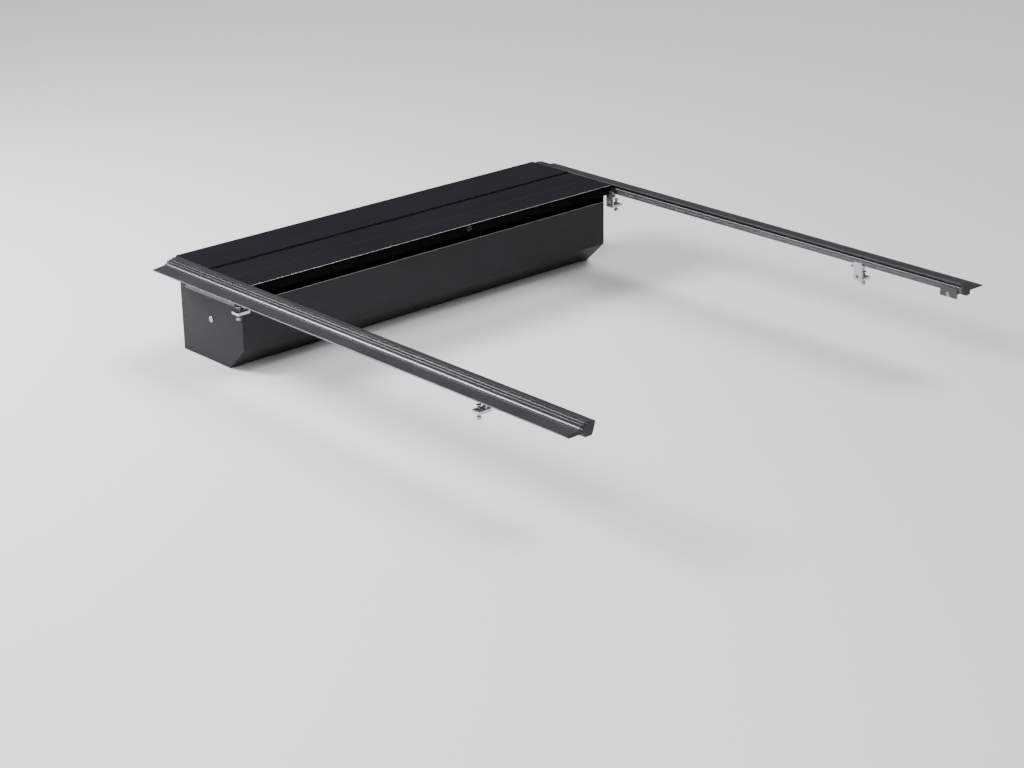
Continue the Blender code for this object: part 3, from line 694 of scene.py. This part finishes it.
def make_painted_highlight_strip(name, low, high, body):
    """A thin bright aluminium strip along a panel's top rear edge, a painted highlight of that
    edge.
    """
    strip = box_outline(low.y, high.z - HIGHLIGHT_STRIP_HEIGHT, low.y + HIGHLIGHT_STRIP_WIDTH, high.z)
    shape = prism(rounded(strip, 0.0003), low.x, high.x, "X", chamfer=0.0001)
    piece(name, shape, "bright_aluminium", body)


def make_rear_face():
    low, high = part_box("canister_face_panel")
    face = [
        (low.y, low.z),
        (low.y + SHEET, low.z),
        (low.y + SHEET, high.z - SHEET),
        (high.y, high.z - SHEET),
        (high.y, high.z),
        # The step at the top holds the bright strip that paints the edge's highlight.
        (low.y + HIGHLIGHT_STRIP_WIDTH, high.z),
        (low.y + HIGHLIGHT_STRIP_WIDTH, high.z - HIGHLIGHT_STRIP_HEIGHT),
        (low.y, high.z - HIGHLIGHT_STRIP_HEIGHT),
    ]
    panel = prism(rounded(face, 0.0004), low.x, high.x, "X", chamfer=0.0004)
    piece("rear_face", panel, "canister_coat", "frame", ["canister_face_panel"])
    # A bright strip that paints the highlight along the face's top edge.
    make_painted_highlight_strip("rear_face_painted_highlight", low, high, "frame")


def make_bottom_pan():
    low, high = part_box("canister_bottom_pan")
    bend_y = low.y + PAN_SLANT
    pan = [
        (low.y, high.z),
        (bend_y, low.z),
        (high.y, low.z),
        (high.y, low.z + SHEET),
        (bend_y + SHEET * 0.4, low.z + SHEET),
        (low.y + SHEET * 1.35, high.z),
    ]
    shape = prism(rounded(pan, 0.0020, 6), low.x, high.x, "X", chamfer=0.0004)
    piece("bottom_pan", shape, "canister_coat", "frame", ["canister_bottom_pan"])


def make_canister_end(name, side):
    """An end plate with rivets up its two sides and along its foot."""
    face_low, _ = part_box("canister_face_panel")
    low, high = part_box("right_end_plate")
    plate = eased(f"{name}_end_plate", 0.0005)
    outside = side * high.x
    for i in range(UPRIGHT_RIVETS):
        z = face_low.z + 0.012 + (high.z - face_low.z - 0.030) * i / (UPRIGHT_RIVETS - 1)
        merge(plate, rivet((outside, low.y + RIVET_INSET, z), (side, 0, 0)))
        merge(plate, rivet((outside, high.y - RIVET_INSET, z - 0.020), (side, 0, 0)))
    for i in range(FOOT_RIVETS):
        y = high.y - 0.030 - FOOT_RIVET_PITCH * i
        merge(plate, rivet((outside, y, low.z + RIVET_INSET), (side, 0, 0)))
    piece(f"{name}_canister_end", plate, "canister_coat", "frame", [f"{name}_end_plate"])


def make_hanger(name, side):
    """The bracket from an end plate to its rail, with a row of bolts."""
    node_name = f"{name}_canister_bracket"
    low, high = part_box(node_name)
    piece(f"{name}_hanger", eased(node_name, 0.0006), "powder_coat", "frame", [node_name])
    heads = bmesh.new()
    _, plate_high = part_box("right_end_plate")
    leg_x = side * (plate_high.x + GAP + 0.0021)
    for i in range(HANGER_BOLTS):
        y = low.y + 0.025 + (high.y - low.y - 0.05) * i / (HANGER_BOLTS - 1)
        merge(heads, bolt((leg_x, y, low.z + 0.013), (side, 0, 0), *HANGER_BOLT))
    piece(f"{name}_hanger_bolts", heads, "zinc_steel", "frame")


def make_canister():
    make_rear_face()
    make_bottom_pan()
    wall = eased("canister_front_wall", 0.0005)
    piece("front_wall", wall, "canister_coat", "frame", ["canister_front_wall"])
    for name, side in SIDES.items():
        make_canister_end(name, side)
        make_hanger(name, side)


def make_axle():
    low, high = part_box("roller_axle")
    radius = (high.y - low.y) / 2
    middle = ((low.y + high.y) / 2, (low.z + high.z) / 2)
    profile = [(0.0012, low.x + 0.0008), (0.0016, low.x), (radius - 0.0008, low.x)]
    profile += [(radius, low.x + 0.0008), (radius, high.x - 0.0008)]
    profile += [(radius - 0.0008, high.x), (0.0016, high.x), (0.0012, high.x - 0.0008)]
    axle = turned(profile, (0, *middle), (1, 0, 0), 48)
    piece("axle_shaft", axle, "zinc_steel", "frame", ["roller_axle"])


# Slats


def slat_section():
    """A slat's section, as distances forward of its rear hinge line and heights over it."""
    rear, front = JOINT_HALF_GAP, SLAT_PITCH - JOINT_HALF_GAP
    foot = SLAT_SKIN - SLAT_HEIGHT
    outline = [(rear, 0.0), (rear, SLAT_SKIN), (front, SLAT_SKIN), (front, 0.0)]
    for leg in (front - SLAT_LEG_INSET, SLAT_PITCH / 2, rear + SLAT_LEG_INSET):
        outline += [
            (leg + SLAT_LEG / 2, 0.0),
            (leg + SLAT_LEG / 2, foot),
            (leg - SLAT_LEG / 2, foot),
            (leg - SLAT_LEG / 2, 0.0),
        ]
    return rounded(outline, 0.0008, 4)


def slat_at(y, z, heading, half_length):
    """A slat whose rear hinge line is at y, z, turned up by heading."""
    section = []
    for u, w in slat_section():
        along = y + u * cos(heading) - w * sin(heading)
        section.append((along, z + u * sin(heading) + w * cos(heading)))
    return prism(section, -half_length, half_length, "X")


def make_slats():
    """The two slats outside the coil. The coiled ones keep their CAD shape."""
    low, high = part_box("slat_01")
    hinge_z = high.z - SLAT_SKIN
    first_hinge_y = low.y - JOINT_HALF_GAP
    first = slat_at(first_hinge_y, hinge_z, 0.0, high.x)
    piece("first_slat", first, "slat_coat", "cover", ["slat_01"])
    second = slat_at(first_hinge_y + SLAT_PITCH, hinge_z, -MOUTH_DIP, high.x)
    piece("mouth_slat_profile", second, "slat_coat", "mouth_slat", ["slat_02"])


def squeezed(final_y, travel):
    """Where a point sits under the deck, so that a smoothstep shift back by the travel would
    bring it to final_y.
    """
    near, far = FOLLOW_START_Y, FOLLOW_END_Y
    for _ in range(HALVINGS):
        middle = (near + far) / 2
        t = (FOLLOW_START_Y - middle) / (FOLLOW_START_Y - FOLLOW_END_Y)
        reached = middle - travel * t * t * (3 - 2 * t)
        if reached > final_y:
            near = middle
        else:
            far = middle
    return (near + far) / 2


def make_following_slats():
    """The slats that follow the mouth slat, squeezed up under the deck."""
    low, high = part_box("slat_01")
    joints = frame["record"]["behaviour"]["joints"]
    travel = next(j["range_m"][1] for j in joints if j["name"] == "cover_slide")
    first_hinge_y = low.y - JOINT_HALF_GAP + 2 * SLAT_PITCH - travel
    run = bmesh.new()
    for i in range(FOLLOWING_SLATS):
        hinge_y = first_hinge_y + i * SLAT_PITCH
        merge(run, slat_at(hinge_y, high.z - SLAT_SKIN, 0.0, high.x))
    for vert in run.verts:
        vert.co.y = squeezed(vert.co.y, travel)
    obj = link_mesh("following_slats", run, FINISHES["slat_coat"])
    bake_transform(obj)


# Leading bar with its latch


def bar_section(low, high):
    """The leading bar's outline, and the hollow in its block."""
    skin_z = high.z - SLAT_SKIN
    block_front = low.y + BAR_BLOCK_FRONT
    foot_y = low.y + BAR_LIP + BAR_UNDERCUT
    leg_y = high.y - SLAT_LEG
    outline = [
        # The step at the top rear holds the bright strip that paints the bar edge's highlight.
        (low.y + HIGHLIGHT_STRIP_WIDTH, high.z),
        (low.y + HIGHLIGHT_STRIP_WIDTH, high.z - HIGHLIGHT_STRIP_HEIGHT),
        (low.y, high.z - HIGHLIGHT_STRIP_HEIGHT),
        (low.y, skin_z - 0.0008),
        (low.y + BAR_LIP, skin_z - 0.0010),
        (low.y + BAR_LIP + 0.0010, skin_z - 0.0040),
        (foot_y, low.z),
        (block_front, low.z),
        (block_front, skin_z),
        (leg_y, skin_z),
        (leg_y, high.z - SLAT_HEIGHT),
        (high.y, high.z - SLAT_HEIGHT),
        (high.y, high.z),
    ]
    hollow = [
        (low.y + BAR_LIP + 0.0010 + BAR_WALL, skin_z - 0.0006),
        (foot_y + BAR_WALL, low.z + BAR_WALL),
        (block_front - BAR_WALL, low.z + BAR_WALL),
        (block_front - BAR_WALL, skin_z - 0.0006),
    ]
    return rounded(outline, 0.0004), rounded(hollow, 0.0015)


def lock_ring():
    """The lock's middle in X and Z, and the inside and outside radius of the boss round it."""
    low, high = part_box("lock_cylinder")
    inside = (high.x - low.x) / 2 + 0.0004
    return (low.x + high.x) / 2, (low.z + high.z) / 2, inside, inside + LOCK_BOSS


def make_leading_bar():
    low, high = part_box("leading_bar")
    outline, hollow = bar_section(low, high)
    bar = prism(outline, low.x, high.x, "X", [hollow], chamfer=0.0005)
    lock_x, lock_z, inside, outside = lock_ring()
    boss = [
        (inside, 0.0),
        (outside - 0.0006, 0.0),
        (outside, 0.0006),
        (outside, LOCK_BOSS_DEPTH),
        (inside, LOCK_BOSS_DEPTH),
    ]
    merge(bar, turned(boss, (lock_x, low.y + 0.0004, lock_z), (0, 1, 0), 48, closed=True))
    piece("rear_bar", bar, "slat_coat", "cover", ["leading_bar"])
    # A bright strip that paints the highlight along the bar's top rear edge.
    make_painted_highlight_strip("rear_bar_painted_highlight", low, high, "cover")


def make_bar_seal():
    """A bulb under the bar, and a black rubber strip up the bar's slanted rear face, parted at
    the lock: the strip is a dark sheet that paints the shade under the bar's lip.
    """
    bar_low, bar_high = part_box("leading_bar")
    low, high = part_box("leading_bar_seal")
    radius = (high.y - low.y) / 2
    bulb = arc((low.y + high.y) / 2, low.z + radius, radius, 180, 360, 18)
    bulb += [(high.y, high.z), (low.y, high.z)]
    strip = prism(bulb, low.x, high.x, "X")
    top_y = bar_low.y + BAR_LIP + 0.0010 - GAP
    top_z = bar_high.z - SLAT_SKIN - 0.0040
    # The strip up the rear face is black rubber that paints the shade under the bar's lip.
    shade_strip = [(bar_low.y + BAR_LIP + BAR_UNDERCUT - GAP, bar_low.z), (top_y, top_z)]
    shade_strip += arc(top_y - BAR_NOSE, top_z - BAR_NOSE, BAR_NOSE, 90, 180, 8)
    shade_strip += [(low.y + 0.0006, bar_low.z + 0.0040), (low.y, bar_low.z)]
    lock_x, _, _, outside = lock_ring()
    merge(strip, prism(shade_strip, low.x, lock_x - outside - GAP, "X"))
    merge(strip, prism(shade_strip, lock_x + outside + GAP, high.x, "X"))
    piece("rear_bar_bulb", strip, "black_rubber", "cover", ["leading_bar_seal"])


def make_glides():
    for name in SIDES:
        glide = eased(f"{name}_glide", 0.0010, 3)
        piece(f"{name}_slider", glide, "black_plastic", "cover", [f"{name}_glide"])


def make_latch_spring(name):
    """A coil spring of round wire that fills the latch spring's box, on the cover."""
    node_name = f"{name}_latch_spring"
    low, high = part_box(node_name)
    middle_y, middle_z = (low.y + high.y) / 2, (low.z + high.z) / 2
    start = (low.x + LATCH_SPRING_WIRE, middle_y, middle_z)
    radius = (high.z - low.z) / 2 - LATCH_SPRING_WIRE
    length = high.x - low.x - 2 * LATCH_SPRING_WIRE
    coil = helix(start, radius, LATCH_SPRING_WIRE, length, LATCH_SPRING_TURNS)
    spring = piece(f"{name}_coil", coil, "spring_steel", "cover", [node_name])
    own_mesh(spring)


def make_latch():
    handle = eased("pull_handle", 0.0006, 3)
    piece("pull_bar", handle, "black_plastic", "handle", ["pull_handle"])
    barrel = eased("lock_cylinder", 0.0003, 3)
    piece("lock_barrel", barrel, "black_zinc", "lock", ["lock_cylinder"])
    for name in SIDES:
        node_name = f"{name}_latch_bolt"
        tongue = eased(node_name, 0.0003, 3)
        piece(f"{name}_tongue", tongue, "zinc_steel", f"{name}_latch", [node_name])
        make_latch_spring(name)


# Clamps and tail brackets


def clamp_screw_profile(length):
    """A hexagon head below, a thread in ridges, and a swivel pad on top."""
    head_radius, head_height = SCREW_HEAD
    pad_radius, pad_height = SCREW_PAD
    shoulder = 0.0052
    pad_z = length - pad_height
    profile = [
        (shoulder, 0.0),
        (head_radius, 0.0006, "hex"),
        (head_radius, head_height - 0.0006, "hex"),
        (shoulder, head_height),
        (SCREW_CREST, head_height),
    ]
    ridges = int((length - head_height - pad_height - 0.0008) / SCREW_THREAD_PITCH)
    for i in range(ridges):
        base = head_height + 0.0003 + i * SCREW_THREAD_PITCH
        profile.append((SCREW_ROOT, base))
        profile += [(SCREW_CREST, base + SCREW_THREAD_PITCH * t) for t in (0.45, 0.55)]
    profile += [
        (SCREW_ROOT, pad_z - SCREW_EASE),
        (pad_radius - SCREW_EASE, pad_z),
        (pad_radius, pad_z + SCREW_EASE),
        (pad_radius, length - SCREW_EASE),
        (pad_radius - SCREW_EASE, length),
        (0.0020, length),
        (0.0016, length - 0.0006),
    ]
    return profile


def make_clamp_body(clamp, side):
    """A clamp with an ear to each side, and its bolts."""
    low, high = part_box(clamp)
    middle_y = (low.y + high.y) / 2
    inside_x = min(abs(low.x), abs(high.x))
    body = eased(clamp, 0.0006)
    ear_low, ear_high = CLAMP_EAR_Z
    ear_start, ear_end = middle_y - CLAMP_EAR_HALF_LENGTH, middle_y + CLAMP_EAR_HALF_LENGTH
    ear = rounded(box_outline(ear_start, ear_low, ear_end, ear_high), 0.0035, 6)
    faces = side * (inside_x + 0.0002), side * (inside_x + CLAMP_PLATE - 0.0002)
    merge(body, prism(ear, *faces, "X", chamfer=0.0005))
    piece(f"{clamp}_body", body, "bright_aluminium", "frame", [clamp])
    heads = bmesh.new()
    for end in (-1, 1):
        place = (side * inside_x, middle_y + end * CLAMP_BOLT_OFFSET, CLAMP_BOLT_Z)
        merge(heads, bolt(place, (-side, 0, 0), *CLAMP_BOLT, shank=0.003))
    window = (side * (inside_x + CLAMP_WINDOW_RECESS), middle_y, CLAMP_WINDOW_Z)
    merge(heads, bolt(window, (-side, 0, 0), *WINDOW_BOLT))
    piece(f"{clamp}_bolts", heads, "zinc_steel", "frame")


def make_clamp_screw(clamp, body):
    node_name = clamp + "_screw"
    low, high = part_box(node_name)
    centre = ((low.x + high.x) / 2, (low.y + high.y) / 2, low.z)
    screw = turned(clamp_screw_profile(high.z - low.z), centre, (0, 0, 1), 48)
    piece(f"{clamp}_spindle", screw, "zinc_steel", body, [node_name])


def make_clamps():
    for name, side in SIDES.items():
        for place in PLACES:
            make_clamp_body(f"{name}_{place}_clamp", side)
            make_clamp_screw(f"{name}_{place}_clamp", f"{name}_{place}_screw")


def make_tail_brackets():
    for name, side in SIDES.items():
        bracket = f"{name}_tail_bracket"
        piece(f"{name}_tail_plate", eased(bracket, 0.0007), "powder_coat", "frame", [bracket])
        low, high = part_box(bracket)
        bolt_low, bolt_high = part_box(f"{name}_tail_bolt")
        inside_x = side * min(abs(low.x), abs(high.x))
        centre = (inside_x, (bolt_low.y + bolt_high.y) / 2, (bolt_low.z + bolt_high.z) / 2)
        head = bolt(centre, (-side, 0, 0), *TAIL_BOLT, washer=TAIL_WASHER, shank=0.004)
        piece(f"{name}_tail_screw", head, "zinc_steel", "frame", [f"{name}_tail_bolt"])


# Stage


def make_stage():
    floor_z = CAD_BOX[0].z - FLOOR_DROP
    builder = bmesh.new()
    corners = box_outline(-FLOOR_HALF, -FLOOR_HALF, FLOOR_HALF, FLOOR_HALF)
    builder.faces.new([builder.verts.new((x, y, floor_z)) for x, y in corners])
    mesh = bpy.data.meshes.new("floor")
    builder.to_mesh(mesh)
    builder.free()
    floor = bpy.data.objects.new("floor", mesh)
    bpy.context.scene.collection.objects.link(floor)
    pale = bpy.data.materials.new("pale_floor")
    pale.use_nodes = True
    shader = pale.node_tree.nodes["Principled BSDF"]
    shader.inputs["Base Color"].default_value = (0.80, 0.80, 0.80, 1)
    shader.inputs["Roughness"].default_value = 0.9
    mesh.materials.append(pale)


def soft_light(name, place, target, size, power, colour):
    """A rectangular light that faces its target."""
    data = bpy.data.lights.new(name, "AREA")
    data.shape = "RECTANGLE"
    data.size, data.size_y = size
    data.energy = power
    data.color = colour
    obj = bpy.data.objects.new(name, data)
    bpy.context.scene.collection.objects.link(obj)
    obj.location = place
    obj.rotation_euler = (Vector(target) - Vector(place)).to_track_quat("-Z", "Y").to_euler()


def make_lights():
    sun = bpy.data.lights.new("sun", "SUN")
    sun.energy = SUN_STRENGTH
    sun.angle = SUN_ANGLE
    sun_object = bpy.data.objects.new("sun", sun)
    bpy.context.scene.collection.objects.link(sun_object)
    sun_object.rotation_euler = Vector(SUN_FROM).to_track_quat("Z", "Y").to_euler()
    soft_light("key", (-3.0, -2.8, 2.6), (0, -0.8, 0), (2.2, 2.0), 90, (1.0, 0.99, 0.97))
    soft_light("front", (-2.25, 1.9, 2.6), (-0.6, -0.8, 0), (2.4, 1.2), 320, (0.95, 0.97, 1.0))
    world = bpy.data.worlds.new("studio")
    world.use_nodes = True
    sky = world.node_tree.nodes["Background"]
    sky.inputs["Color"].default_value = SKY_COLOUR
    sky.inputs["Strength"].default_value = SKY_STRENGTH
    bpy.context.scene.world = world


def make_camera():
    level = cos(CAMERA_PITCH)
    ahead = Vector((sin(CAMERA_YAW) * level, cos(CAMERA_YAW) * level, -sin(CAMERA_PITCH)))
    right = Vector((cos(CAMERA_YAW), -sin(CAMERA_YAW), 0))
    up = right.cross(ahead)
    rolled_right = cos(CAMERA_ROLL) * right + sin(CAMERA_ROLL) * up
    rolled_up = -sin(CAMERA_ROLL) * right + cos(CAMERA_ROLL) * up
    data = bpy.data.cameras.new("camera")
    data.lens = CAMERA_LENS
    data.sensor_width = SENSOR_WIDTH
    camera = bpy.data.objects.new("camera", data)
    bpy.context.scene.collection.objects.link(camera)
    turn = Matrix((rolled_right, rolled_up, -ahead)).transposed().to_4x4()
    camera.matrix_world = Matrix.Translation(CAMERA_PLACE) @ turn
    bpy.context.scene.camera = camera


def main():
    make_camera()
    make_lights()
    make_stage()
    make_materials()
    paint_cad_nodes()
    make_rails()
    make_deck()
    make_mouth_lip()
    make_canister()
    make_axle()
    make_slats()
    make_following_slats()
    make_leading_bar()
    make_bar_seal()
    make_glides()
    make_latch()
    make_clamps()
    make_tail_brackets()


main()
